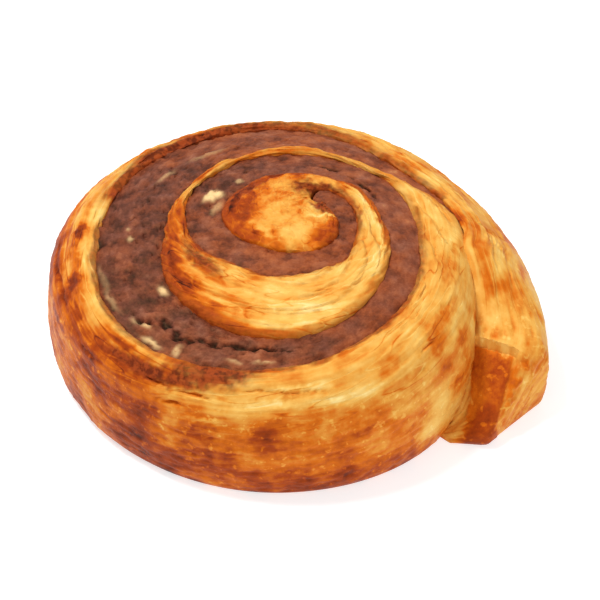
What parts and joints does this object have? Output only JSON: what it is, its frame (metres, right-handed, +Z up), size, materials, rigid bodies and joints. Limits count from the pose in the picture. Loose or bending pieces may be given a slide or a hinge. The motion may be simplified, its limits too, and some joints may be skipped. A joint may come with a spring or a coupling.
{
  "type": "cinnamon roll",
  "caption": "Snail-shaped flaky pastry roll: a long strip of laminated dough wound round a band of dark cinnamon filling, with a tail folded down to the base.",
  "frame": {"origin": "middle of the base, on the surface that the roll stands on", "axes": "+Z up through the crown, +X towards the side that the tail sticks out of, -Y towards the viewer"},
  "size_m": [0.1201, 0.1124, 0.0391],
  "materials": {
    "crust": "golden brown baked laminated dough, satin, with glossy egg wash on the shoulders and pale flaky edges",
    "filling": "dark brown cinnamon paste, matt to satin, with small pits and dark bubbles"
  },
  "bodies": {
    "root": {"dough": "crust", "filling": "filling"}
  },
  "joints": []
}
